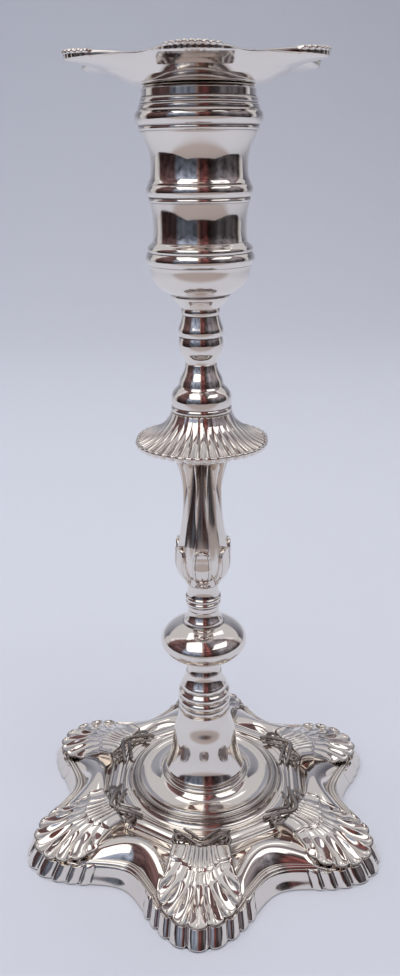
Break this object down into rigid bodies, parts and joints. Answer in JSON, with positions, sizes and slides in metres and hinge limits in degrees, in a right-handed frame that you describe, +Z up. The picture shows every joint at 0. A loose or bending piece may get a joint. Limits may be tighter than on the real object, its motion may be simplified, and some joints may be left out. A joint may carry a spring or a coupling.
{
  "type": "candlestick",
  "caption": "Table candlestick with a six-cornered scallop-shell base, turned and fluted stem, socket and lift-out drip-pan nozzle.",
  "frame": {"origin": "centre of the base, on the surface it stands on", "axes": "+Z up along the stem's axis; the six corners lie at -90 degrees and every 60 degrees from it"},
  "size_m": [0.1224, 0.1372, 0.254],
  "materials": {
    "silver": "bright polished silver plate, faintly warm, with light tarnish in the recesses",
    "rod_steel": "plain zinc-plated steel"
  },
  "bodies": {
    "stick": {"base": "silver", "base_washer": "rod_steel", "base_nut": "rod_steel", "tie_rod": "rod_steel", "foot_collar": "silver", "bulb_knop": "silver", "ring_collar": "silver", "baluster": "silver", "fluted_shade": "silver", "bell_knop": "silver", "ring_knop": "silver", "socket_cup": "silver", "socket_nut": "silver", "socket_barrel": "silver"},
    "nozzle": {"nozzle_pan": "silver", "nozzle_collar": "silver"}
  },
  "joints": [
    {"name": "nozzle_lift", "type": "slide", "parent": "stick", "child": "nozzle", "axis": [0, 0, 1], "range_m": [0, 0.03]}
  ]
}
